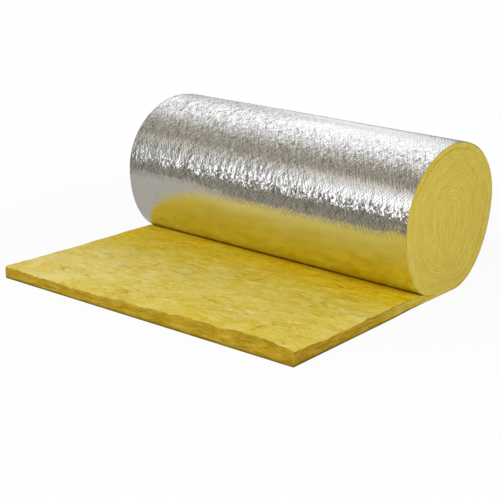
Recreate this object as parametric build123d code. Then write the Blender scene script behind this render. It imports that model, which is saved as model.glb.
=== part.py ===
from build123d import *

import os
from math import asin, degrees

# Roll of glass-wool insulation with a foil facing, its loose end laid out flat.
#
# The blanket is one long strip, wound with the facing outwards. The last turn leaves the bottom of the
# roll and lies forward on the floor, wool side up. The roll has sagged under its own weight into an oval
# that stands on a flat foot, and it squeezes the wool that lies under it.
#
# The section is drawn in the YZ plane and runs the width of the blanket along X. The loose end points
# to -Y, Z is up, and the origin is on the floor below the eye of the roll. All sizes are millimetres.

# Stock
blanket_width = 1200
loft = 38  # the wool's thickness where it lies free
facing_thickness = 0.3  # foil, scrim and paper laminate

# The roll as it lies
roll_width = 572  # from front to back
roll_height = 523
widest_height = 283  # where it reaches furthest to the front and the back
foot_width = 128  # flat where it stands
turns = 17.5  # from the outside to the eye
eye_height = 242  # of the eye's middle, which has sunk below the middle of the roll
eye_length = 110  # the winding began on a fold, so its eye is an upright slit

# The loose end
tail_length = 897  # from below the eye to the cut end
nip_height = 33  # of the line where the roll meets the loose end
taper_length = 380  # of the stretch before the nip where the roll presses the wool down
edge_round = 5  # of the cut end's upper edge

# The seam between the turns, as it shows on both ends of the roll
seam_width = 2.5
seam_depth = 6
core_turns = 5.5  # at the eye, wound too tightly to show a seam


def scale(turn):
    """Width of the winding this many turns from the outside, as a share of its outermost width."""
    return 1 - turn / turns


def height_at(turn, outside, eye):
    """A height on the winding, which changes evenly from the outside of the roll to its eye."""
    return eye + (outside - eye) * scale(turn)


eye_top = eye_height + eye_length / 2
eye_bottom = eye_height - eye_length / 2

# The outermost turn shrinks as it goes round, so its stated sizes are reached part of the way along it.
half_width = roll_width / (scale(0.25) + scale(0.75))
crown_height = eye_top + (roll_height - eye_top) / scale(0.5)


def half_foot(turn):
    """Half of the winding's flat foot."""
    return foot_width / 2 * scale(turn)


def level_end(number):
    """Turn and height of a quarter's end that is in front or at the back."""
    turn = (number + 1 - number % 2) / 4
    return turn, height_at(turn, widest_height, eye_height)


def upright_end(number):
    """Turn and height of a quarter's end that is on top or at the foot."""
    turn = (number + number % 2) / 4
    at_foot = number % 4 in (0, 3)
    return turn, height_at(turn, 0, eye_bottom) if at_foot else height_at(turn, crown_height, eye_top)


def quarter(number, inset, begin=0, end=90):
    """One quarter of a turn, from degree begin to degree end of it, drawn inside the winding by inset.

    Quarters count from the floor: up the back, over the top, down the front and in under the roll.
    """
    side = number % 4
    level_turn, level_height = level_end(number)
    upright_turn, upright_height = upright_end(number)
    foot = half_foot(upright_turn) if side in (0, 3) else 0
    return EllipticalCenterArc(
        (-foot if side == 3 else foot, level_height),
        half_width * scale(level_turn) - foot - inset,
        abs(upright_height - level_height) - inset,
        start_angle=270 + 90 * side + begin,
        arc_size=end - begin,
    )


def nip_degree(inset):
    """How far down the front quarter of the outermost turn the nip lies."""
    level_height, foot_height = level_end(3)[1], upright_end(3)[1]
    return degrees(asin((level_height - nip_height) / (level_height - foot_height - inset)))


def outer_turn(inset):
    """The outside of the blanket from the cut end along the floor and round the roll to the nip."""
    floor = Line((-tail_length, inset), (half_foot(0), inset))
    return [floor, *[quarter(n, inset) for n in range(3)], quarter(3, inset, 0, nip_degree(inset))]


def hidden_turns(inset):
    """The winding from the nip to the eye, under the outermost turn."""
    edges = [quarter(3, inset, nip_degree(inset), 90)]
    for number in range(4, int(4 * (turns - core_turns))):
        if number % 4 == 0:
            foot_start = edges[-1] @ 1
            edges.append(Line(foot_start, (half_foot(number / 4), foot_start.Y)))
        edges.append(quarter(number, inset))
    return edges


def closed_face(one_way, other_way):
    """Face between two chains of edges that run side by side in the same direction."""
    start = Line(one_way[0] @ 0, other_way[0] @ 0)
    end = Line(one_way[-1] @ 1, other_way[-1] @ 1)
    return make_face([*one_way, *other_way, start, end])


def across_width(face):
    """The face, drawn in the YZ plane, run across the width of the blanket."""
    return extrude(Plane.YZ.offset(-blanket_width / 2) * face, amount=blanket_width)


def wool_section():
    """Roll and loose end as one outline, inside the facing."""
    outside = outer_turn(facing_thickness)
    nip_of_facing = outer_turn(0)[-1] @ 1
    top = facing_thickness + loft
    taper_start = (nip_of_facing.X - taper_length, top)
    round_centre = (-tail_length + edge_round, top - edge_round)
    cut_round = CenterArc(round_centre, edge_round, start_angle=90, arc_size=90)
    tail_top = [
        Line(outside[-1] @ 1, nip_of_facing),
        TangentArc(taper_start, nip_of_facing, tangent=(1, 0)),
        Line(taper_start, cut_round @ 0),
        cut_round,
        Line(cut_round @ 1, outside[0] @ 0),
    ]
    return make_face([*outside, *tail_top])


def end_seams():
    """Spiral grooves in the two ends of the roll, which show its turns. They start just inside the nip."""
    section = closed_face(hidden_turns(seam_width), hidden_turns(2 * seam_width))
    groove = extrude(Plane.YZ * section, amount=seam_depth)
    return [Pos(X=-blanket_width / 2) * groove, Pos(X=blanket_width / 2 - seam_depth) * groove]


wool_blanket = across_width(wool_section()) - end_seams()
foil_facing = across_width(closed_face(outer_turn(0), outer_turn(facing_thickness)))

os.makedirs("parts", exist_ok=True)
export_step(wool_blanket, "parts/wool_blanket.step")
export_step(foil_facing, "parts/foil_facing.step")
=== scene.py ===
import math
from itertools import zip_longest

import bmesh
import bpy
import numpy as np
from mathutils import Matrix, Vector, noise


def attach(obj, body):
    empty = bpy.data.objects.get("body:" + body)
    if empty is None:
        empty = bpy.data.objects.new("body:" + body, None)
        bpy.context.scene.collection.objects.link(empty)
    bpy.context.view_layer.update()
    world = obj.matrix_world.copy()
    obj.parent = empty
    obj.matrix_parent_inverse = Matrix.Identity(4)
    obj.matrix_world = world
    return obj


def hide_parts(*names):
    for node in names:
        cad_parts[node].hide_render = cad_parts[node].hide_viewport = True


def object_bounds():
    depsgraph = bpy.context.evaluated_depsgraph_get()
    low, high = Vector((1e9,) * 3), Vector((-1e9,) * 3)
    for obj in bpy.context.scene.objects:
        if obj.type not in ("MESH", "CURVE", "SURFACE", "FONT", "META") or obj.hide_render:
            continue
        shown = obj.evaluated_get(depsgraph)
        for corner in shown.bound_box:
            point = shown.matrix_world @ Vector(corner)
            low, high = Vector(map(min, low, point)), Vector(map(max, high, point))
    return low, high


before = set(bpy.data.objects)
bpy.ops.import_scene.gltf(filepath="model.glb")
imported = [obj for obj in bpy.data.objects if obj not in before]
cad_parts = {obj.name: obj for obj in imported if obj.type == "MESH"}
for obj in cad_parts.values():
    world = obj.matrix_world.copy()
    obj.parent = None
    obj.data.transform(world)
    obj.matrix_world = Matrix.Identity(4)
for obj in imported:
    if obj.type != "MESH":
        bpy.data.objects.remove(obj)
cad_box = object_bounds()

# Outer sizes in metres, from the frame, to a thousandth of a millimetre
LOWEST, HIGHEST = ([round(value, 6) for value in corner] for corner in cad_box)
WIDTH = HIGHEST[0] - LOWEST[0]
TAIL = -LOWEST[1]  # from below the eye to the cut end
ROLL_HEIGHT = HIGHEST[2]

# Other sizes of the blanket and of the roll as it lies, as in the solids
LOFT = 0.038
FACING = 0.0003
ROLL_WIDTH = 0.572
WIDEST = 0.283  # height at which the roll is widest
FOOT = 0.128  # flat where it stands
TURNS = 17.5
EYE = 0.242  # height of the eye's middle
EYE_LENGTH = 0.110
TAPER = 0.38  # length of the stretch before the nip where the roll presses the wool down

SKEW = math.radians(0.99)  # the loose end was unrolled a little askew
NIP_LEFT, NIP_RIGHT = 0.037, 0.030  # height of the nip at the two ends of the roll
TUCK = 0.0010  # how far the facing lies in from the ends between the turns
GAP = 0.0001  # between the wool and the facing of the next turn
RAGGED = 0.014  # how far in from the cut end its ragged form reaches
NIP_DEPTH, NIP_REACH = 0.0022, 0.004  # how deep the wool is pinched at the nip, and how far from it

# Fineness of the meshes
STEP = 0.010  # between stations along the blanket
FINE_STEP = 0.0068  # the same on the outermost turn, where the facing shows
THICK = 10  # divisions through the blanket at its cut edges
FOIL_COLUMNS = 321
TAIL_ROWS = np.linspace(0, 1, 153)
ACROSS = np.linspace(-WIDTH / 2, WIDTH / 2, 241)
THROUGH = np.linspace(0, 1, THICK + 1)


def scale(turn):
    """Width of the winding this many turns from the outside, as a share of its outermost width."""
    return 1 - turn / TURNS


EYE_TOP = EYE + EYE_LENGTH / 2
EYE_BOTTOM = EYE - EYE_LENGTH / 2
HALF_WIDTH = ROLL_WIDTH / (scale(0.25) + scale(0.75))
CROWN = EYE_TOP + (ROLL_HEIGHT - EYE_TOP) / scale(0.5)


def smooth(low, high, value):
    """0 below low, 1 above high, and smooth between."""
    t = np.clip((value - low) / (high - low), 0, 1)
    return t * t * (3 - 2 * t)


def lumps(points, size, seed):
    """Smooth noise from -1 to 1. size is how wide its lumps are, one number or one for each axis."""
    at = np.asarray(points) / np.asarray(size) + 17.3 * seed
    return np.array([noise.noise(p) for p in at.reshape(-1, 3).tolist()]).reshape(at.shape[:-1])


def ridges(points, size, seed):
    """Sharp creases: 1 on their crests and falling to 0 beside them."""
    return 1 - np.minimum(np.abs(lumps(points, size, seed)) * 2.2, 1)


def flat_point(x, y):
    return np.stack([x, y, np.zeros_like(x)], -1)


def uneven(turn):
    """How many turns further in the winding lies than an even one. Its outermost turn is the loosest."""
    loose = 0.55 * smooth(1.0, 1.35, turn) * (1 - smooth(1.6, 7.0, turn))
    return loose + 0.13 * smooth(1.2, 2.2, turn) * lumps(flat_point(turn, 0 * turn), 0.6, 8)


def foot_side(turn):
    """Which end of the flat foot a turn passes: 1 at the back, -1 in front, 0 off the foot."""
    quarter = np.floor(turn * 4) % 4
    return np.where(quarter == 0, 1, np.where(quarter == 3, -1, 0))


def rolled(turn, slide):
    """y and z on the winding. slide is the place along its flat foot, from -1 to 1."""
    size = np.maximum(scale(turn + uneven(turn)), 0.0005)
    angle = np.radians(270 + 360 * (turn % 1))
    low = foot_side(turn) != 0
    foot = np.where(low, FOOT / 2 * size, 0)
    level = EYE + (WIDEST - EYE) * size
    upright = np.where(low, EYE_BOTTOM * (1 - size), EYE_TOP + (CROWN - EYE_TOP) * size)
    y = slide * foot + (HALF_WIDTH * size - foot) * np.cos(angle)
    return np.stack([y, level + np.abs(upright - level) * np.sin(angle)], -1)


def winding():
    """Stations from the back of the foot to the eye: the turn, and the place along the flat foot."""
    turns, slides = [], []
    for whole in range(int(TURNS)):
        step = STEP if whole else FINE_STEP
        around = 2 * (math.pi * HALF_WIDTH * scale(whole + 0.5) + EYE_LENGTH * (1 - scale(whole)))
        count = max(24, 4 * round(around / step / 4))
        turn = whole + np.arange(count) / count
        flat = np.linspace(-1, 1, max(3, round(FOOT * scale(whole + 1) / step)))[:-1]
        turns += [turn, np.full(len(flat), whole + 1.0)]
        slides += [foot_side(turn), flat]
    turn = np.linspace(int(TURNS), TURNS - 0.1, 12)
    turns.append(turn)
    slides.append(foot_side(turn))
    return np.concatenate(turns), np.concatenate(slides)


def nip_at(x):
    """Turn at which the roll meets the loose end, for places across the width."""
    height = NIP_LEFT + (NIP_RIGHT - NIP_LEFT) * (x / WIDTH + 0.5)
    turn = np.linspace(0.8, 0.999, 400)
    low = rolled(turn, foot_side(turn))[:, 1]
    return np.interp(height, low[::-1], turn[::-1])


def nip_point(x):
    turn = nip_at(np.asarray(x, float))
    return rolled(turn, foot_side(turn))


DENTS = [  # creases in the loose end's face: x, y, length, direction in degrees, depth
    (-0.331, -0.781, 0.045, 20, 0.0050), (-0.442, -0.767, 0.060, -40, 0.0035),
    (-0.139, -0.813, 0.060, 10, 0.0045), (-0.170, -0.699, 0.050, 5, 0.0035),
    (-0.252, -0.518, 0.050, 60, 0.0045), (-0.009, -0.513, 0.050, 30, 0.0040),
    (-0.027, -0.802, 0.030, 70, 0.0040), (0.232, -0.738, 0.060, 10, 0.0045),
    (0.129, -0.693, 0.090, 0, 0.0035), (0.145, -0.637, 0.080, 25, 0.0035),
    (0.450, -0.691, 0.070, 50, 0.0050), (0.461, -0.570, 0.050, 0, 0.0035),
    (0.396, -0.801, 0.090, 80, 0.0045), (0.528, -0.870, 0.030, 80, 0.0045),
    (0.300, -0.420, 0.100, 15, 0.0035), (0.050, -0.330, 0.090, 20, 0.0035),
    (-0.350, -0.300, 0.080, 15, 0.0030), (0.420, -0.300, 0.100, 10, 0.0035),
]


def dents(x, y):
    """For each crease: the place along it, from -1 to 1, the distance from it, and its depth."""
    for cx, cy, length, turn, depth in DENTS:
        c, s = math.cos(math.radians(turn)), math.sin(math.radians(turn))
        along = ((x - cx) * c + (y - cy) * s) * 2 / length
        yield along, (y - cy) * c - (x - cx) * s + 0.010 * np.sin(along * 2 + cx * 40), depth


def cracks(x, y):
    """1 along the thin cracks in the loose end's face, which come in patches."""
    at = flat_point(x, y)
    return smooth(0.0, 0.30, lumps(at, 0.16, 9)) * ridges(at, (0.10, 0.055, 1), 10) ** 6


def tail_height(x, y):
    """Height of the loose end's lumpy upper face."""
    at = flat_point(x, y)
    nip_y, nip_z = np.moveaxis(nip_point(x), -1, 0)
    away = nip_y - y
    risen = 0.0035 * (1 - smooth(-0.60, -0.40, x)) + 0.0095 * smooth(-0.20, 0.25, x)
    free = LOFT + FACING + risen * smooth(0.42, 0.74, away)
    height = nip_z + (free - nip_z) * (1 - (1 - np.clip(away / TAPER, 0, 1)) ** 2)
    height -= NIP_DEPTH * np.exp(-np.clip(away, 0, None) / NIP_REACH)
    loose = smooth(0, 0.10, away) * (1 - 0.75 * np.exp(-(x + WIDTH / 2) / 0.03))
    height += loose * (0.0026 * lumps(at, 0.15, 1) + 0.0024 * lumps(at, (0.075, 0.055, 1), 2))
    height += loose * (0.0017 * lumps(at, (0.036, 0.026, 1), 3) + 0.0007 * lumps(at, 0.013, 4))
    rim = np.exp(-np.abs(np.minimum(y + TAIL, WIDTH / 2 - x)) / 0.03) * smooth(-0.50, -0.10, x)
    height += smooth(0.15, 0.35, away) * rim * 0.0048 * lumps(at, 0.055, 5)
    height -= loose * 0.0028 * cracks(x, y)
    for along, across, depth in dents(x, y):
        height -= depth * np.exp(-(along**2) - (across / 0.006) ** 2)
        height += 0.4 * depth * np.exp(-(along**2) - ((across - 0.012) / 0.009) ** 2)
    return height


def askew(points):
    """The loose end as it was unrolled, turned a little on the floor."""
    x, y, z = np.moveaxis(points, -1, 0)
    loose = smooth(0.15, 0.37, -y)
    return np.stack([x - loose * SKEW * y, y + loose * SKEW * x, z], -1)


def strip(side):
    """One long edge of the blanket from its cut end to the eye: points on its facing and its bare face."""
    x = side * WIDTH / 2
    nip = float(nip_at(np.array(x)))
    nip_y = float(nip_point(x)[0])
    y = -TAIL + (nip_y + TAIL) * TAIL_ROWS
    xs = np.full(len(y), x)
    facing = [flat_point(xs, y)]
    inner = [np.stack([xs, y, tail_height(xs, y)], -1)]
    # under the roll
    turn = np.linspace(nip, 1, 18)[1:]
    slide = np.full(len(turn), -1.0)
    flat = np.linspace(-1, 1, 20)[1:-1]
    press = np.concatenate([rolled(turn, slide), rolled(np.ones(len(flat)), flat)])
    share = (press[:, 0] - nip_y) / (FOOT / 2 * scale(1) - nip_y)
    xs = np.full(len(press), x)
    facing.append(flat_point(xs, nip_y + (FOOT / 2 - nip_y) * share))
    inner.append(np.column_stack([xs, press]))
    # round the roll
    xs = np.full(len(TURN), x)
    facing.append(np.column_stack([xs, rolled(TURN, SLIDE)]))
    inner.append(np.column_stack([xs, rolled(TURN + 1, SLIDE)]))
    return np.concatenate(facing), np.concatenate(inner)


TURN, SLIDE = winding()
LEFT, RIGHT = strip(-1), strip(1)
STATIONS = len(LEFT[0])
ALONG = np.concatenate([[0], np.cumsum(np.linalg.norm(np.diff(LEFT[0], axis=0), axis=1))])
FIRST_WOUND = STATIONS - len(TURN)
WOUND = np.concatenate([np.zeros(FIRST_WOUND), TURN])  # turns from the outside, 0 on the loose end
HIDDEN = smooth(0.93, 0.97, WOUND)  # 1 where the facing is inside the roll
# 0 on the loose end, 1 in the roll
TIGHT = smooth(len(TAIL_ROWS) - 12, len(TAIL_ROWS) + 6, np.arange(STATIONS))
LOOSE = slice(0, len(TAIL_ROWS))  # the stations on the loose end

FACE, CUT = 0, 1  # material slots of a piece's faces and of its cut edges


def inwards(facing, inner):
    """Unit vectors from the facing to the bare face of the blanket."""
    towards = inner - facing
    return towards / np.maximum(np.linalg.norm(towards, axis=1), 1e-6)[:, None]


class Mesh:
    """Collects faces, then joins their shared edges into one closed piece.

    Each point has values for its material to read, under the names given here.
    """

    def __init__(self, *names):
        self.points, self.faces, self.uvs, self.slots = [], [], [], []
        self.values = {name: [] for name in names}

    def add(self, points, *values):
        """Adds points with their values, 0 where none is given."""
        first = len(self.points)
        points = np.asarray(points).reshape(-1, 3)
        self.points += points.tolist()
        for name, value in zip_longest(self.values, values, fillvalue=0):
            self.values[name] += np.broadcast_to(np.asarray(value, float).reshape(-1), len(points)).tolist()
        return first + np.arange(len(points))

    def face(self, corners, uvs, slot):
        self.faces.append([int(c) for c in corners])
        self.uvs += [tuple(map(float, uv)) for uv in uvs]
        self.slots.append(slot)

    def grid(self, points, uvs, slot, *values):
        rows, columns = points.shape[:2]
        index = self.add(points, *values).reshape(rows, columns)
        for i in range(rows - 1):
            for j in range(columns - 1):
                at = [(i, j), (i, j + 1), (i + 1, j + 1), (i + 1, j)]
                self.face([index[a] for a in at], [uvs[a] for a in at], slot)
        return index

    def build(self, name, materials):
        data = bpy.data.meshes.new(name)
        data.from_pydata(self.points, [], self.faces)
        data.uv_layers.new(name="UVMap").data.foreach_set("uv", np.array(self.uvs).ravel())
        for name_of_value, values in self.values.items():
            data.attributes.new(name_of_value, "FLOAT", "POINT").data.foreach_set("value", values)
        for material in materials:
            data.materials.append(material)
        data.polygons.foreach_set("material_index", self.slots)
        bm = bmesh.new()
        bm.from_mesh(data)
        loose = [v for v in bm.verts if not v.link_faces]
        bmesh.ops.delete(bm, geom=loose, context="VERTS")
        bmesh.ops.remove_doubles(bm, verts=bm.verts, dist=1e-6)
        bmesh.ops.dissolve_degenerate(bm, edges=bm.edges, dist=1e-7)
        bmesh.ops.recalc_face_normals(bm, faces=bm.faces)
        for edge in bm.edges:
            one, other = edge.link_faces[0], edge.link_faces[-1]
            same_material = one.material_index == other.material_index
            edge.smooth = same_material and one.normal.dot(other.normal) > 0.5
        open_edges = sum(not e.is_manifold for e in bm.edges)
        triangles = sum(len(f.verts) - 2 for f in bm.faces)
        print(name, triangles, "triangles", open_edges, "open edges")
        bm.to_mesh(data)
        bm.free()
        data.polygons.foreach_set("use_smooth", np.ones(len(data.polygons), bool))
        piece = bpy.data.objects.new(name, data)
        bpy.context.scene.collection.objects.link(piece)
        return piece


def edge_form(points, through, tight, side):
    """How far the wool of a long edge stands out: flush in the roll, worn and layered on the loose end."""
    seam = -0.0006 * np.abs(2 * through - 1) ** 6
    worn = -0.0010 * through**6 - 0.0012 * (1 - through) ** 6
    at = np.stack([0 * through, points[..., 1], through * LOFT], -1)
    layers = 0.0018 * lumps(at, (1, 0.16, 0.007), 30 + side)
    layers += 0.0010 * lumps(at, (1, 0.05, 0.005), 40 + side)
    ragged = 0.0030 * through**3 * lumps(points * (0, 1, 0), (1, 0.05, 1), 50 + side)
    rough = 0.0010 * lumps(points, 0.05, 20 + side) + 0.0005 * lumps(points, 0.008, 21 + side)
    return (worn + layers + ragged) * (1 - tight) + seam * tight + rough


TORN = [  # upper edge of the cut end: x, and how far it is torn back there
    (-0.10, 0), (0.00, 0.004), (0.12, 0.006), (0.20, 0.012), (0.27, 0.012),
    (0.33, 0.021), (0.45, 0.028), (0.51, 0.023), (0.54, 0.010), (0.60, 0),
]


def torn_back(x, y):
    """How far the upper edge of the cut end is torn back, and less so further in."""
    return np.interp(x, *zip(*TORN)) * np.clip(1 - (y + TAIL) / 0.12, 0, 1)


def cut_form(x, through):
    """How far the wool of the cut end stands out along -y."""
    at = np.stack([x, 0 * x, through * LOFT], -1)
    worn = -0.0014 * through**6 - 0.0012 * (1 - through) ** 6
    layers = 0.0022 * lumps(at, (0.09, 1, 0.012), 60) + 0.0012 * lumps(at, (0.040, 1, 0.006), 61)
    rough = 0.0006 * lumps(at, (0.012, 1, 0.006), 62)
    ragged = 0.0050 * through**3 * lumps(at * (1, 1, 0), (0.055, 1, 1), 63)
    return worn + layers + rough + ragged


def edge_painted_light(through, tight, wound):
    """Painted light on a cut edge: above 0 painted shade, beside the facing, in open seams and at the
    loose end's foot; below 0 a pale painted glint along the seams.
    """
    from_seam = 1 - np.abs(2 * through - 1)
    # painted: a pale glint along the seams, where the facing's edges lie, with a little painted shade
    # beside it
    seam = 0.12 * np.exp(-(((from_seam - 0.42) / 0.16) ** 2)) - 0.85 * np.exp(-((from_seam / 0.16) ** 2))
    # painted shade in the open seam between the two outer turns, on their upper part
    first = (wound > 0) & (wound < 1)
    second = (wound >= 1) & (wound < 2)
    upper = smooth(0.38, 0.46, wound % 1) * (1 - smooth(0.62, 0.72, wound % 1))
    open_seam = 0.9 * upper * ((first & (through > 0.95)) | (second & (through < 0.05)))
    # painted shade along the wool beside the facing of the outermost turn
    beside_facing = 0.8 * np.clip(1 - through / 0.15, 0, 1) * first
    dark = np.maximum(open_seam, beside_facing)
    # painted contact shade along the foot of the loose end's cut edges
    loose = np.clip(1.1 - through / 0.20, 0, 1)
    return tight * np.where(dark > 0, dark, seam) + (1 - tight) * loose


def face_wear_and_painted_light(x, y, away):
    """Worn places, painted light and painted crease shade of the loose end's face, which lies so far away
    from the nip.

    The first value is above 0 where the face is matted, and towards the nip, where the roll presses it
    down, as painted bounce light and shade; above 1 for painted shade in the crevice at the nip; and
    below 0 where the wool frays.
    """
    # golden towards the nip, more so on the right: painted bounce light and shade where the roll presses
    # the wool
    golden_share = np.minimum(1.3 * (1 - smooth(0, TAPER, away)) * (0.78 + 0.35 * x), 1)
    # above 1: painted shade in the crevice at the nip
    golden_share += 1.2 * np.clip(1 - away / 0.009, 0, 1)
    fray_and_glint = smooth(0.20, 0.45, away) * (0.15 + 0.85 * smooth(-0.25, 0.5, -x))
    matted = np.zeros(x.shape)
    # painted shade along the cracks and in the dents
    crease_shade = 0.6 * cracks(x, y) * smooth(0.10, 0.20, away)
    for along, across, depth in dents(x, y):
        matted += 80 * depth * np.exp(-(along**2) - (across / 0.020) ** 2)
        crease_shade += 200 * depth * np.exp(-2 * along**2 - (across / 0.006) ** 2)
    return np.maximum(golden_share, np.minimum(matted, 0.5)) - fray_and_glint, np.minimum(crease_shade, 1)


def wool_edge(mesh, side, facing, inner):
    """The wool's cut edge on one side, from the cut end to the eye: its points and their numbers."""
    towards = inwards(facing, inner)
    base = facing + towards * FACING
    top = inner - towards * GAP * TIGHT[:, None]
    points = base[:, None] + (top - base)[:, None] * THROUGH[None, :, None]
    through = np.broadcast_to(THROUGH, points.shape[:2])
    tight = np.broadcast_to(TIGHT[:, None], points.shape[:2])
    along = np.stack([ALONG, 0 * ALONG, 0 * ALONG + side], -1)
    stand = 0.0016 * lumps(along, (0.35, 1, 0.7), 5) + 0.0008 * lumps(along, (0.09, 1, 0.7), 6)
    points[..., 0] += side * (edge_form(points, through, tight, side) + (TIGHT * stand)[:, None])
    fade = np.exp(-(points[LOOSE, :, 1] + TAIL) / RAGGED)
    end_x = np.full(fade.shape, side * WIDTH / 2)
    points[LOOSE, :, 1] -= fade * cut_form(end_x, through[LOOSE])
    points[LOOSE] = askew(points[LOOSE])
    uvs = np.stack([np.broadcast_to(ALONG[:, None], through.shape), through * LOFT], -1)
    wear_and_painted_light = edge_painted_light(through, tight, WOUND[:, None])
    # share of the roll's paler colour; the loose end's darker colour is partly painted shade
    roll_colour_share = np.maximum(tight, 0.8 * smooth(-0.50, -0.18, points[..., 1]))
    return points, mesh.grid(points, uvs, CUT, wear_and_painted_light, roll_colour_share)


def wool_top(mesh, edges):
    """The upper face of the loose end: its points and their numbers."""
    x = np.broadcast_to(ACROSS[:, None], (len(ACROSS), len(TAIL_ROWS)))
    nip_y = nip_point(ACROSS)[:, 0]
    y = -TAIL + (nip_y + TAIL)[:, None] * TAIL_ROWS
    points = np.stack([x, y, tail_height(x, y)], -1)
    uvs = points[..., :2].copy()
    fade = np.exp(-(y + TAIL) / RAGGED)
    points[..., 1] += torn_back(x, y) - fade * cut_form(x, 0 * x + 1)
    points = askew(points)
    # its sides meet the cut edges, and the columns beside them follow, each less than the one before
    for end, side in ((0, -1), (len(ACROSS) - 1, 1)):
        shift = edges[side][0][LOOSE, -1] - points[end]
        for column in range(6):
            points[end - side * column] += shift * 0.65**column
    return points, mesh.grid(points, uvs, FACE, *face_wear_and_painted_light(x, y, nip_y[:, None] - y))


def wool_end(mesh, edges, top_points):
    """The cut end, which meets the edges and the upper face: the numbers of its points."""
    x = np.broadcast_to(ACROSS[:, None], (len(ACROSS), THICK + 1))
    through = np.broadcast_to(THROUGH, x.shape)
    high = tail_height(ACROSS, np.full(len(ACROSS), -TAIL))
    points = np.stack([x, np.full(x.shape, -TAIL), FACING + (high[:, None] - FACING) * through], -1)
    points[..., 1] += through**1.5 * torn_back(x, -TAIL) - cut_form(x, through)
    points = askew(points)
    points[:, -1] = top_points[:, 0]
    points[0], points[-1] = edges[-1][0][0], edges[1][0][0]
    # painted shade on the upper part of the cut end, where it is torn back
    wear_and_painted_light = edge_painted_light(through, 0, 0) + 14 * smooth(0.5, 0.95, through) * torn_back(x, -TAIL)
    return mesh.grid(points, np.stack([x + 3, through * LOFT], -1), CUT, wear_and_painted_light)


def make_wool(face_material, cut_material):
    # tone is the share of a material's second colour: a cut edge's in the roll, and a face's painted shade
    # in creases
    # the first value holds wear and painted light: painted shade, a pale painted glint along seams and a
    # painted golden tint near the nip
    mesh = Mesh("wear_and_painted_light", "tone")
    edges = {-1: wool_edge(mesh, -1, *LEFT), 1: wool_edge(mesh, 1, *RIGHT)}
    top_points, top = wool_top(mesh, edges)
    end = wool_end(mesh, edges, top_points)
    left, right = edges[-1][1], edges[1][1]
    nip = len(TAIL_ROWS)

    # faces that lie on the facing or between the turns
    blank = [(0, 0)] * 4
    for m in range(1, STATIONS - 1):
        mesh.face([left[m, 0], right[m, 0], right[m + 1, 0], left[m + 1, 0]], blank, CUT)
        if m >= nip:
            mesh.face([left[m, -1], left[m + 1, -1], right[m + 1, -1], right[m, -1]], blank, FACE)
    for fan, slot in (
        ([*end[:, 0], right[1, 0], left[1, 0]], CUT),
        ([*top[:, -1], right[nip, -1], left[nip, -1]], FACE),
        ([*left[-1], *right[-1][::-1]], CUT),
    ):
        mesh.face(fan, [(0, 0)] * len(fan), slot)
    return mesh.build("wool_blanket_roll", [face_material, cut_material])


CREASES = [  # long creases in the facing: x and turn at their two ends, and depth
    (0.02, 0.708, -0.02, 0.738, 0.0016), (-0.05, 0.712, 0.02, 0.742, 0.0012),
    (-0.30, 0.690, -0.32, 0.728, 0.0012), (0.38, 0.690, 0.36, 0.740, 0.0014),
    (0.44, 0.686, 0.46, 0.730, 0.0010), (0.12, 0.560, 0.30, 0.575, 0.0009),
    (-0.28, 0.545, -0.12, 0.572, 0.0010),
]
SHOWN = 0.985  # turn up to which the facing shows
BRIGHT_FROM, BRIGHT_TO = (0.635, 0.660), (0.700, 0.712)  # turns over which its bright band sets in and ends
GRAIN = [  # how grainy the facing is: turn and strength
    (0.530, 0.60), (0.570, 1.20), (0.635, 1.20), (0.660, 0.25), (0.700, 0.25),
    (0.712, 1.15), (0.720, 1.30), (0.730, 1.20), (0.742, 0.50),
]


def wrinkles(x, turn, around, calm):
    """How far the facing stands off the roll.

    around is the distance along the blanket, and calm is 1 where the facing is taut.
    """
    at = flat_point(x, around)
    bent_x = x + 0.014 * lumps(at, 0.07, 70) + 0.003 * lumps(at, 0.02, 78)
    bend = flat_point(bent_x, around + 0.02 * lumps(at, 0.07, 71))
    slant = bend @ np.array([[1, 0, 0], [0.45, 1, 0], [0, 0, 1]])
    back_slant = bend @ np.array([[1, 0, 0], [-0.6, 1, 0], [0, 0, 1]])
    patchy = 0.5 + 0.5 * lumps(at, (0.12, 0.16, 1), 72)
    left = 1 - smooth(-0.42, 0.0, x)
    right = smooth(0.05, 0.35, x)
    middle = 1 - left - right
    flutes = (0.55 + 0.35 * left - 0.30 * right + 0.3 * patchy) * lumps(bend, (0.0165, 0.085, 1), 75)
    crossed = ridges(slant, (0.023, 0.060, 1), 76) + ridges(back_slant, (0.020, 0.034, 1), 77) - 1
    upper_left = left * (1 - smooth(0.58, 0.64, turn))
    crossed *= (0.2 + 0.1 * right + 0.3 * upper_left) * (0.5 + patchy)
    crumpled = ridges(slant, (0.024, 0.034, 1), 80) + ridges(back_slant, (0.019, 0.030, 1), 81) - 1
    lower = smooth(0.60, 0.68, turn) * (1 - 0.6 * smooth(0.712, 0.738, turn))
    crumpled *= np.maximum(middle, 0.35 * right * patchy) * lower
    fluted = smooth(0.695, 0.715, turn) * (1 - 0.5 * left) * lumps(bend, (0.0085, 0.045, 1), 82)
    crush = (0.45 + 0.55 * right + 0.8 * middle) * lumps(bend, (0.0095, 0.016, 1), 79)
    folds = 0.0014 * flutes + 0.0008 * crossed + 0.0011 * crumpled + 0.0003 * crush + 0.0007 * fluted
    for x0, turn0, x1, turn1, depth in CREASES:
        share = np.clip((turn - turn0) / (turn1 - turn0), 0, 1)
        off = x - x0 - (x1 - x0) * share - 0.004 * np.sin(40 * share)
        begun = smooth(turn0 - 0.004, turn0 + 0.004, turn)
        ended = smooth(turn1 - 0.004, turn1 + 0.004, turn)
        folds -= depth * begun * (1 - ended) * np.exp(-np.abs(off) / 0.005)
    waves = 0.0006 * lumps(at, (0.20, 0.32, 1), 74)
    stand = 0.0018 - 0.0012 * calm + waves * (1 - 0.6 * calm) + folds * (1 - 0.92 * calm)
    return np.maximum(stand, 0.0002)


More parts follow.
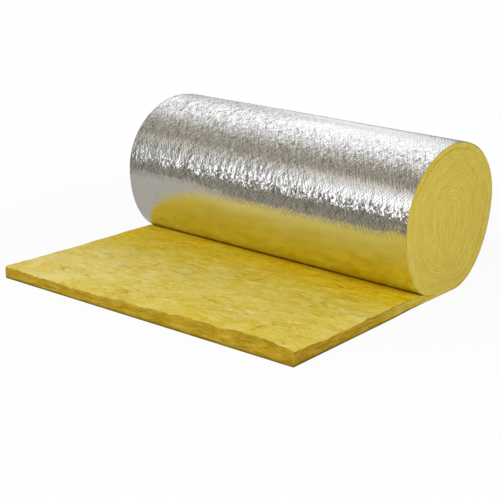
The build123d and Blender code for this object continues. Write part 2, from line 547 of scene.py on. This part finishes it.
def foil_state(x, turn, around):
    """How calm the facing is on the outermost turn, how grainy, and how far it stands off the roll."""
    edge = turn + 0.004 * lumps(flat_point(x, around), (0.05, 0.10, 1), 73)
    off_left = smooth(-0.30, -0.08, x)
    # taut below the widest line, a little in the dark band, and on the upper right
    calm = smooth(0.744 + 0.006 * off_left, 0.754 + 0.014 * off_left, edge)
    calm = calm + 0.2 * smooth(0.575, 0.60, edge) * (1 - smooth(*BRIGHT_FROM, edge))
    calm = np.maximum(calm, 0.75 * (1 - smooth(0.53, 0.58, turn)) * smooth(-0.15, 0.15, x))
    # taut in the bright band too, least of all in the middle
    bright = smooth(*BRIGHT_FROM, turn) * (1 - smooth(*BRIGHT_TO, turn))
    taut = 0.70 - 0.32 * smooth(-0.35, -0.10, x) + 0.50 * smooth(0.05, 0.30, x)
    calm = np.maximum(calm, bright * taut)
    calm = np.maximum(calm, 0.25 * smooth(0.724, 0.744, edge))
    grain = np.interp(turn, *zip(*GRAIN)) * (0.75 + 0.25 * smooth(-0.45, -0.15, x))
    # close to the roll at its ends, where the turn begins and in the nip, and bulging above the nip
    height = wrinkles(x, turn, around, np.maximum(calm, 0.7 * smooth(0.726, 0.750, edge)))
    from_end = WIDTH / 2 - np.abs(x)
    height *= np.maximum(calm * smooth(0, 0.004, from_end), smooth(0, 0.011, from_end))
    bulge = 0.0065 * smooth(0.738, 0.798, turn) * (1 - smooth(0.81, 0.92, turn)) * off_left
    height += bulge * smooth(0, 0.12, WIDTH / 2 - x)
    height *= smooth(0, 0.05, turn) * (1 - smooth(0.93, 0.96, turn))
    return calm, grain, height


def foil_edge(mesh, side, facing, inner):
    """One long edge of the facing: numbers of its outer and inner points, and its place on the sheet."""
    outside = facing.copy()
    outside[:, 0] -= side * TUCK * HIDDEN
    inside = outside + inwards(facing, inner) * FACING
    outside[LOOSE] = askew(outside[LOOSE])
    inside[LOOSE] = askew(inside[LOOSE])
    uvs = np.stack([np.full(STATIONS, side * WIDTH / 2), ALONG], -1)
    return mesh.add(outside), mesh.add(inside), uvs


def foil_outside(mesh, shown):
    """The stretch that shows round the roll: the numbers of its points, and their places on the sheet."""
    across = np.linspace(-WIDTH / 2, WIDTH / 2, FOIL_COLUMNS)
    place = rolled(TURN, SLIDE)[: len(shown)]
    run = np.gradient(place, axis=0)
    run /= np.linalg.norm(run, axis=1)[:, None]
    out = np.stack([run[:, 1], -run[:, 0]], -1)
    x = np.broadcast_to(across, (len(shown), len(across)))
    turn, around = (np.broadcast_to(v[:, None], x.shape) for v in (TURN[: len(shown)], ALONG[shown]))
    calm, grain, height = foil_state(x, turn, around)
    points = np.concatenate([x[..., None], place[:, None] + out[:, None] * height[..., None]], -1)
    uvs = np.stack([x, around], -1)
    return mesh.grid(points, uvs, FACE, calm, grain), uvs


def make_facing(material):
    mesh = Mesh("calm", "grain")
    sides = {-1: foil_edge(mesh, -1, *LEFT), 1: foil_edge(mesh, 1, *RIGHT)}
    _, left_in, left_uv = sides[-1]
    _, right_in, right_uv = sides[1]
    shown = np.arange(FIRST_WOUND, STATIONS)[TURN < SHOWN]
    index, uvs = foil_outside(mesh, shown)

    def outer(m, side):
        if shown[0] <= m <= shown[-1]:
            return index[m - shown[0], 0 if side < 0 else -1]
        return sides[side][0][m]

    for m in range(STATIONS - 1):
        n = m + 1
        ends = [left_uv[m], right_uv[m], right_uv[n], left_uv[n]]
        mesh.face([left_in[m], right_in[m], right_in[n], left_in[n]], ends, FACE)
        for side, (_, inside, uv) in sides.items():
            rim = [outer(m, side), inside[m], inside[n], outer(n, side)]
            mesh.face(rim, [uv[m], uv[m], uv[n], uv[n]], FACE)
        if n == shown[0]:
            mesh.face([outer(m, 1), outer(m, -1), *index[0]], [right_uv[m], left_uv[m], *uvs[0]], FACE)
        elif m == shown[-1]:
            mesh.face([outer(n, 1), outer(n, -1), *index[-1]], [right_uv[n], left_uv[n], *uvs[-1]], FACE)
        elif not shown[0] <= m < shown[-1]:
            mesh.face([outer(m, -1), outer(m, 1), outer(n, 1), outer(n, -1)], ends, FACE)
    for m in (0, STATIONS - 1):
        cap = [outer(m, -1), left_in[m], right_in[m], outer(m, 1)]
        mesh.face(cap, [left_uv[m], left_uv[m], right_uv[m], right_uv[m]], FACE)
    return mesh.build("foil_facing_sheet", [material])


WHITE = (1.0, 1.0, 1.0)


class Nodes:
    """A node tree, built in few words."""

    def __init__(self, tree):
        self.tree = tree

    def node(self, kind, **settings):
        made = self.tree.nodes.new("ShaderNode" + kind)
        for key, value in settings.items():
            setattr(made, key, value)
        return made

    def feed(self, source, socket):
        """Sets a socket to a number or a colour, or links it to another node's output."""
        if isinstance(source, (int, float)):
            socket.default_value = source
        elif isinstance(source, tuple):
            socket.default_value = (*source, 1) if len(socket.default_value) == 4 else source
        else:
            self.tree.links.new(source, socket)

    def scaled(self, source, *factors):
        made = self.node("Mapping")
        self.feed(source, made.inputs["Vector"])
        self.feed(factors, made.inputs["Scale"])
        return made.outputs["Vector"]

    def noise(self, vector, size, detail=4.0, rough=0.55, distortion=0.0):
        made = self.node("TexNoise")
        self.feed(vector, made.inputs["Vector"])
        settings = {"Scale": 1 / size, "Detail": detail, "Roughness": rough, "Distortion": distortion}
        for key, value in settings.items():
            made.inputs[key].default_value = value
        return made.outputs["Fac"]

    def ramp(self, source, *stops):
        made = self.node("ValToRGB")
        elements = made.color_ramp.elements
        while len(elements) < len(stops):
            elements.new(0.5)
        for element, (at, colour) in zip(elements, stops):
            element.position = at
            element.color = (*colour, 1) if isinstance(colour, tuple) else (colour, colour, colour, 1)
        self.feed(source, made.inputs["Fac"])
        return made.outputs["Color"]

    def mix(self, share, one, other, blend="MIX"):
        made = self.node("Mix", data_type="RGBA", blend_type=blend)
        for source, key in ((share, 0), (one, 6), (other, 7)):
            self.feed(source, made.inputs[key])
        return made.outputs[2]

    def times(self, colour, factor):
        return self.mix(1.0, colour, factor, "MULTIPLY")

    def stretched(self, source, factors, start):
        """A vector times factors, plus start."""
        made = self.node("VectorMath", operation="MULTIPLY_ADD")
        for key, value in enumerate((source, factors, start)):
            self.feed(value, made.inputs[key])
        return made.outputs[0]

    def math(self, operation, *sources):
        made = self.node("Math", operation=operation)
        for key, source in enumerate(sources):
            self.feed(source, made.inputs[key])
        return made.outputs[0]

    def between(self, source, low, high, at_low=0.0, at_high=1.0):
        """A smooth step from one value to another."""
        made = self.node("MapRange", interpolation_type="SMOOTHSTEP")
        for key, value in enumerate((source, low, high, at_low, at_high)):
            self.feed(value, made.inputs[key])
        return made.outputs[0]

    def bump(self, height, strength, distance, normal=None):
        made = self.node("Bump")
        for value, key in ((height, "Height"), (strength, "Strength"), (distance, "Distance")):
            self.feed(value, made.inputs[key])
        if normal is not None:
            self.feed(normal, made.inputs["Normal"])
        return made.outputs["Normal"]


class Surface(Nodes):
    """A material with one shader."""

    def __init__(self, name):
        self.material = bpy.data.materials.new(name)
        self.material.use_nodes = True
        super().__init__(self.material.node_tree)
        self.shader = self.tree.nodes["Principled BSDF"]
        self.output = self.tree.nodes["Material Output"].inputs["Surface"]

    def set(self, **sockets):
        for key, value in sockets.items():
            self.feed(value, self.shader.inputs[key.replace("_", " ")])

    def attribute(self, name):
        return self.node("Attribute", attribute_name=name).outputs["Fac"]


def wool_face():
    s = Surface("glass_wool_face")
    at = s.node("TexCoord").outputs["Object"]
    swirl = s.node("TexNoise")
    s.feed(at, swirl.inputs["Vector"])
    swirl.inputs["Scale"].default_value = 9
    bent = s.stretched(swirl.outputs["Color"], (0.09, 0.07, 0.0), at)
    patches = s.noise(bent, 0.11, 4, 0.6)
    clumps = s.noise(s.scaled(bent, 0.75, 1.1, 1), 0.040, 5, 0.6, 0.8)
    tufts = s.noise(s.scaled(bent, 0.7, 1.2, 1), 0.016, 4, 0.6, 1.2)
    fibres = s.noise(s.scaled(bent, 0.5, 1.4, 1), 0.006, 5, 0.7, 1.5)
    base = s.ramp(patches, (0.36, (0.572, 0.432, 0.038)), (0.50, (0.583, 0.454, 0.065)),
                  (0.62, (0.608, 0.498, 0.112)))
    mottled = s.ramp(clumps, (0.34, (0.55, 0.395, 0.020)), (0.50, (0.59, 0.465, 0.07)),
                     (0.66, (0.65, 0.55, 0.18)))
    colour = s.mix(0.5, base, mottled)
    # pale where the wool frays; golden where it is matted, and golden towards the nip as painted
    # bounce light and shade between the foil and the wool
    wear_and_painted_light = s.attribute("wear_and_painted_light")
    pale = s.math("MULTIPLY", s.math("MINIMUM", wear_and_painted_light, 0.0), -0.7)
    pale = s.math("MULTIPLY", pale, s.ramp(patches, (0.38, 0.30), (0.62, 0.95)))
    colour = s.mix(pale, colour, (0.71, 0.61, 0.25))
    golden_share = s.math("MULTIPLY", s.math("MINIMUM", s.math("MAXIMUM", wear_and_painted_light, 0.0), 1.0), 0.96)
    golden = s.ramp(clumps, (0.38, (0.62, 0.40, 0.003)), (0.62, (0.68, 0.50, 0.018)))
    colour = s.mix(golden_share, colour, golden)
    # dark specks in patches, and the grain of tufts and fibres
    specks = s.ramp(tufts, (0.31, (0.55, 0.42, 0.25)), (0.38, 1.0))
    colour = s.times(colour, s.mix(s.ramp(patches, (0.44, 0.0), (0.54, 1.0)), specks, WHITE))
    colour = s.times(colour, s.ramp(tufts, (0.34, 0.91), (0.52, 1.0), (0.70, 1.06)))
    colour = s.times(colour, s.ramp(fibres, (0.32, 0.88), (0.52, 1.0), (0.72, 1.08)))
    # painted shade: brown in creases, orange in the crevice at the nip
    crease_shade = s.math("MULTIPLY", s.attribute("tone"), s.ramp(tufts, (0.40, 0.75), (0.60, 0.25)))
    colour = s.mix(crease_shade, colour, (0.24, 0.135, 0.008))
    crevice = s.math("SUBTRACT", s.math("MAXIMUM", wear_and_painted_light, 1.0), 1.0)
    colour = s.mix(crevice, colour, (0.50, 0.075, 0.002))
    normal = s.bump(clumps, 0.7, 0.006)
    normal = s.bump(tufts, 0.6, 0.003, normal)
    normal = s.bump(fibres, 0.5, 0.0015, normal)
    s.set(Base_Color=colour, Roughness=0.92, Specular_IOR_Level=0.0, Normal=normal)
    return s.material


def wool_cut():
    s = Surface("glass_wool_cut_edge")
    at = s.node("TexCoord")
    layers = s.noise(s.scaled(at.outputs["UV"], 0.10, 1.0, 1), 0.006, 4, 0.6, 0.8)
    fibres = s.noise(s.scaled(at.outputs["UV"], 0.3, 1.0, 1), 0.003, 6, 0.7, 1.0)
    patches = s.noise(s.scaled(at.outputs["UV"], 0.5, 1.0, 1), 0.035, 4, 0.6, 0.8)
    # darker on the loose end than in the roll, partly the wool's own rougher, deeper colour and partly
    # painted shade of the overhang and the floor close by, and more streaky
    loose = s.ramp(patches, (0.32, (0.31, 0.188, 0.009)), (0.50, (0.365, 0.238, 0.018)),
                   (0.68, (0.41, 0.283, 0.032)))
    wound = s.ramp(patches, (0.32, (0.53, 0.395, 0.052)), (0.50, (0.566, 0.436, 0.068)),
                   (0.68, (0.605, 0.482, 0.092)))
    roll = s.attribute("tone")
    base = s.mix(roll, loose, wound)
    streaks = s.mix(roll, s.ramp(layers, (0.30, 0.58), (0.50, 1.0), (0.72, 1.22)),
                    s.ramp(layers, (0.30, 0.86), (0.50, 1.0), (0.72, 1.09)))
    colour = s.times(base, streaks)
    colour = s.times(colour, s.ramp(fibres, (0.30, 0.86), (0.52, 1.0), (0.72, 1.08)))
    # painted shade beside the facing, in open seams and at the foot and torn top of the loose end;
    # a pale painted glint along the seams in the roll
    wear_and_painted_light = s.attribute("wear_and_painted_light")
    broken = s.ramp(s.noise(at.outputs["Object"], 0.02, 3, 0.6), (0.38, 0.40), (0.62, 1.0))
    broken = s.mix(roll, WHITE, broken)
    dark = s.math("MULTIPLY", s.math("MAXIMUM", wear_and_painted_light, 0.0), broken)
    # the colour of the painted shade
    colour = s.mix(dark, colour, (0.12, 0.085, 0.006))
    pale = s.math("MULTIPLY", s.math("MINIMUM", wear_and_painted_light, 0.0), -1.0)
    # noise that breaks up the painted glint
    fray_and_glint = s.ramp(s.noise(at.outputs["Object"], 0.03, 3, 0.6), (0.38, 1.0), (0.62, 0.25))
    pale = s.math("MULTIPLY", pale, fray_and_glint)
    # the colour of the painted glint
    colour = s.mix(pale, colour, (0.74, 0.65, 0.26))
    normal = s.bump(fibres, 0.5, 0.001, s.bump(layers, 0.5, 0.002))
    s.set(Base_Color=colour, Roughness=0.92, Specular_IOR_Level=0.0, Normal=normal)
    return s.material


def foil():
    s = Surface("aluminium_foil_facing")
    uv = s.node("TexCoord").outputs["UV"]
    warp = s.node("TexNoise", noise_dimensions="2D")
    s.feed(uv, warp.inputs["Vector"])
    warp.inputs["Scale"].default_value = 45
    bent = s.stretched(warp.outputs["Color"], (0.020, 0.024, 0), uv)

    def facets(size, strength):
        """Flat patches, each tilted its own way and mostly upwards."""
        cell = s.node("TexVoronoi", voronoi_dimensions="2D")
        cell.inputs["Scale"].default_value = 1 / size
        s.feed(s.scaled(bent, 1.0, 0.9, 1), cell.inputs["Vector"])
        made = s.node("NormalMap", uv_map="UVMap")
        s.feed(s.stretched(cell.outputs["Color"], (0.22, 0.11, 0), (0.39, 0.41, 1)), made.inputs["Color"])
        s.feed(strength, made.inputs["Strength"])
        return made.outputs["Normal"]

    def turned(degrees):
        made = s.node("Mapping")
        s.feed(uv, made.inputs["Vector"])
        made.inputs["Rotation"].default_value = (0, 0, math.radians(degrees))
        return made.outputs[0]

    def threads(degrees):
        """The reinforcement's threads, 10 mm apart."""
        made = s.node("TexWave", wave_type="BANDS", bands_direction="X")
        s.feed(turned(degrees), made.inputs["Vector"])
        for key, value in (("Scale", 31.4), ("Distortion", 3.0), ("Detail Scale", 2.0)):
            made.inputs[key].default_value = value
        return made.outputs["Fac"]

    def scratches(degrees):
        return s.noise(s.scaled(turned(degrees), 1.0, 0.08, 1), 0.0050, 2, 0.5)

    strokes = s.noise(s.scaled(bent, 1.0, 0.22, 1), 0.012, 2, 0.5, 0.3)
    scrim = s.math("ADD", threads(32), threads(-38))
    scored = s.math("ADD", scratches(28), scratches(-35))
    tone = s.noise(uv, 0.05, 3, 0.6, 0.4)
    calm = s.attribute("calm")
    lively = s.math("MULTIPLY_ADD", calm, -0.92, 1.0)
    # relief, less of it where the facing is taut
    normal = facets(0.0052, s.math("MULTIPLY", lively, s.attribute("grain")))
    normal = s.bump(strokes, lively, 0.0026, normal)
    normal = s.bump(scored, 0.6, 0.0011, normal)
    normal = s.bump(scrim, 0.6, 0.00012, normal)
    roughness = s.mix(calm, s.ramp(tone, (0.3, 0.09), (0.7, 0.14)), (0.12, 0.12, 0.12))
    colour = s.ramp(tone, (0.3, (0.84, 0.84, 0.84)), (0.7, (0.89, 0.89, 0.892)))
    colour = s.times(colour, s.ramp(scrim, (0.12, 0.90), (0.45, 1.0)))
    # painted shade along the scratches, as in creases that trap light, mostly where the facing is slack
    crease_shade = s.ramp(s.math("MULTIPLY", scored, 0.5), (0.40, 0.42), (0.49, 1.0), (0.62, 1.04))
    share = s.math("MULTIPLY_ADD", lively, 0.88, 0.04)
    colour = s.mix(share, colour, s.times(colour, crease_shade))
    s.set(Base_Color=colour, Roughness=roughness, Metallic=1.0, Normal=normal)
    return s.material


def make_camera():
    """The view from the front right, a little above, with a long lens."""
    azimuth, elevation, tilt = (math.radians(a) for a in (37.563, 16.848, 2.064))
    level = np.array([math.cos(azimuth), math.sin(azimuth), 0])
    away = np.array([math.sin(azimuth), -math.cos(azimuth), 0])
    back = math.cos(elevation) * away + math.sin(elevation) * np.array([0, 0, 1])
    upright = np.cross(back, level)
    across = math.cos(tilt) * level + math.sin(tilt) * upright
    up = math.cos(tilt) * upright - math.sin(tilt) * level
    sideways, upwards, distance = -0.1879, 0.0257, 4.6
    place = sideways * across + upwards * up + distance * back
    camera = bpy.data.objects.new("camera", bpy.data.cameras.new("camera"))
    camera.data.sensor_width = 36
    camera.data.lens = 89.99
    camera.data.clip_end = 200
    matrix = np.eye(4)
    matrix[:3] = np.stack([across, up, back, place], -1)
    camera.matrix_world = Matrix(matrix.tolist())
    bpy.context.scene.collection.objects.link(camera)
    bpy.context.scene.camera = camera


# Brightness round the roll: degrees from the front horizon over the top to the back, and grey
STUDIO = [
    (-180, 0.60), (-8, 0.13), (4, 0.15), (12, 0.70), (20, 1.22), (34, 1.12), (44, 0.62),
    (54, 0.38), (62, 0.26), (70, 0.38), (78, 0.24), (87, 0.36), (96, 0.41), (107, 0.90),
    (118, 1.62), (138, 1.78), (150, 1.36), (162, 0.86), (172, 0.68), (180, 0.58),
]
STUDIO_STRENGTH = 2.1  # the ramp holds half of each grey


def make_world():
    """A soft studio: a bright panel overhead behind the roll and one in front, and grey between."""
    world = bpy.data.worlds.new("studio")
    bpy.context.scene.world = world
    world.use_nodes = True
    s = Nodes(world.node_tree)
    way = s.node("SeparateXYZ")
    s.feed(s.node("TexCoord").outputs["Generated"], way.inputs[0])
    tilt = s.math("ARCTAN2", way.outputs["Z"], s.math("MULTIPLY", way.outputs["Y"], -1.0))
    share = s.math("MULTIPLY_ADD", tilt, 0.5 / math.pi, 0.5)
    stops = []
    for angle, grey in STUDIO:
        warm = 0.42 * (1 - min(grey / 0.9, 1.05)) if angle < 100 else -0.03
        half = grey / 2
        stops.append((angle / 360 + 0.5, (half, half * (1 - 0.35 * warm), half * (1 - warm))))
    panels = s.ramp(share, *stops)
    # the front panel is dim on the left, and the overhead one on the right
    front = s.math("MULTIPLY", s.between(tilt, math.radians(50), math.radians(36)),
                   s.between(tilt, math.radians(4), math.radians(13)))
    overhead = s.between(tilt, math.radians(98), math.radians(110))
    sideways = way.outputs["X"]
    dim = s.ramp(s.between(sideways, -0.64, -0.39), (0.0, 0.16), (1.0, 1.18))
    fall = s.ramp(s.between(sideways, -0.58, -0.42), (0.0, 1.0), (1.0, 0.52))
    panels = s.times(panels, s.mix(overhead, WHITE, fall))
    panels = s.times(panels, s.mix(front, WHITE, dim))
    # a dark stretch on the left, and clutter where the panels are dark
    beside = s.mix(s.between(sideways, -0.96, -0.84), panels, (0.165, 0.156, 0.132))
    colour = s.mix(s.between(sideways, -0.86, -0.46), beside, panels)
    clutter = s.noise(s.scaled(s.node("TexCoord").outputs["Generated"], 1.0, 0.5, 0.5), 0.13, 2, 0.5)
    clutter = s.ramp(clutter, (0.36, 0.25), (0.50, 0.9), (0.64, 2.2))
    cluttered = s.between(panels, 0.20, 0.55, 1.0, 0.12)
    colour = s.mix(cluttered, colour, s.times(colour, clutter))
    background = world.node_tree.nodes["Background"]
    s.feed(colour, background.inputs["Color"])
    background.inputs["Strength"].default_value = STUDIO_STRENGTH


def stage_mesh(name, points, faces, surface):
    mesh = bpy.data.meshes.new(name)
    mesh.from_pydata(points, [], faces)
    mesh.materials.append(surface.material)
    made = bpy.data.objects.new(name, mesh)
    bpy.context.scene.collection.objects.link(made)
    return made


def square(x0, x1, y0, y1, z):
    return [(x0, y0, z), (x1, y0, z), (x1, y1, z), (x0, y1, z)]


# The stage lies just below the object, its cards above its floor.
FLOOR = square(-40, 40, -40, 40, -0.0005)
FAR_CORNERS = square(-40, 40, -40, 40, -0.0003)
NEAR_CORNERS = square(-1.05, 1.05, -1.03, 0.80, -0.0003)
AROUND = FAR_CORNERS + NEAR_CORNERS


def make_floor():
    """A white floor that keeps a faint shadow round the object."""
    s = Surface("pale_floor")
    s.set(Base_Color=(0.65, 0.65, 0.65), Roughness=0.9, Specular_IOR_Level=0.0)
    white = s.node("Emission")
    path = s.node("LightPath")
    seen = s.math("MAXIMUM", path.outputs["Is Camera Ray"], path.outputs["Is Glossy Ray"])
    seen = s.math("MAXIMUM", seen, path.outputs["Is Transmission Ray"])
    far = s.node("VectorMath", operation="LENGTH")
    s.feed(s.node("TexCoord").outputs["Object"], far.inputs[0])
    share = s.math("MULTIPLY", seen, s.between(far.outputs["Value"], 0.8, 2.0, 0.93, 0.995))
    mix = s.node("MixShader")
    for key, source in enumerate((share, s.shader.outputs[0], white.outputs[0])):
        s.feed(source, mix.inputs[key])
    s.feed(mix.outputs[0], s.output)
    stage_mesh("floor", FLOOR, [(0, 1, 2, 3)], s)


def make_card(name, points, faces, dark, light):
    """A mottled card on the floor that only the foil's reflections see."""
    s = Surface(name)
    s.tree.nodes.remove(s.shader)
    glow = s.node("Emission")
    mottle = s.noise(s.scaled(s.node("TexCoord").outputs["Object"], 1.6, 0.6, 1), 0.8, 3, 0.6)
    s.feed(s.ramp(mottle, (0.40, dark), (0.60, light)), glow.inputs["Color"])
    s.feed(glow.outputs[0], s.output)
    card = stage_mesh(name, points, faces, s)
    card.visible_camera = card.visible_diffuse = card.visible_shadow = card.visible_transmission = False


def make_lamp(name, place, size, power):
    lamp = bpy.data.objects.new(name, bpy.data.lights.new(name, "AREA"))
    lamp.data.shape = "RECTANGLE"
    lamp.data.size, lamp.data.size_y = size
    lamp.data.energy = power
    lamp.location = place
    lamp.rotation_euler = Vector(place).to_track_quat("Z", "Y").to_euler()
    lamp.visible_camera = False
    lamp.visible_glossy = False
    bpy.context.scene.collection.objects.link(lamp)


make_camera()
make_world()
make_floor()
make_card("near_card", NEAR_CORNERS, [(0, 1, 2, 3)], (0.43, 0.405, 0.36), (0.48, 0.455, 0.415))
make_card("far_card", AROUND, [(0, 1, 5, 4), (1, 2, 6, 5), (3, 0, 4, 7)],
          (0.05, 0.044, 0.032), (0.48, 0.455, 0.39))
make_card("back_card", AROUND, [(2, 3, 7, 6)], (0.30, 0.30, 0.32), (0.38, 0.38, 0.40))
make_lamp("key", (-0.5, -2.6, 2.5), (2.6, 2.0), 47)
make_lamp("front", (0.9, -3.4, 0.9), (2.4, 1.2), 25)
make_lamp("right", (3.4, -0.8, 1.5), (2.0, 1.6), 42)

wool = make_wool(wool_face(), wool_cut())
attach(wool, "root")
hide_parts("wool_blanket")

facing = make_facing(foil())
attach(facing, "root")
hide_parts("foil_facing")

bpy.context.scene.view_settings.view_transform = "Standard"
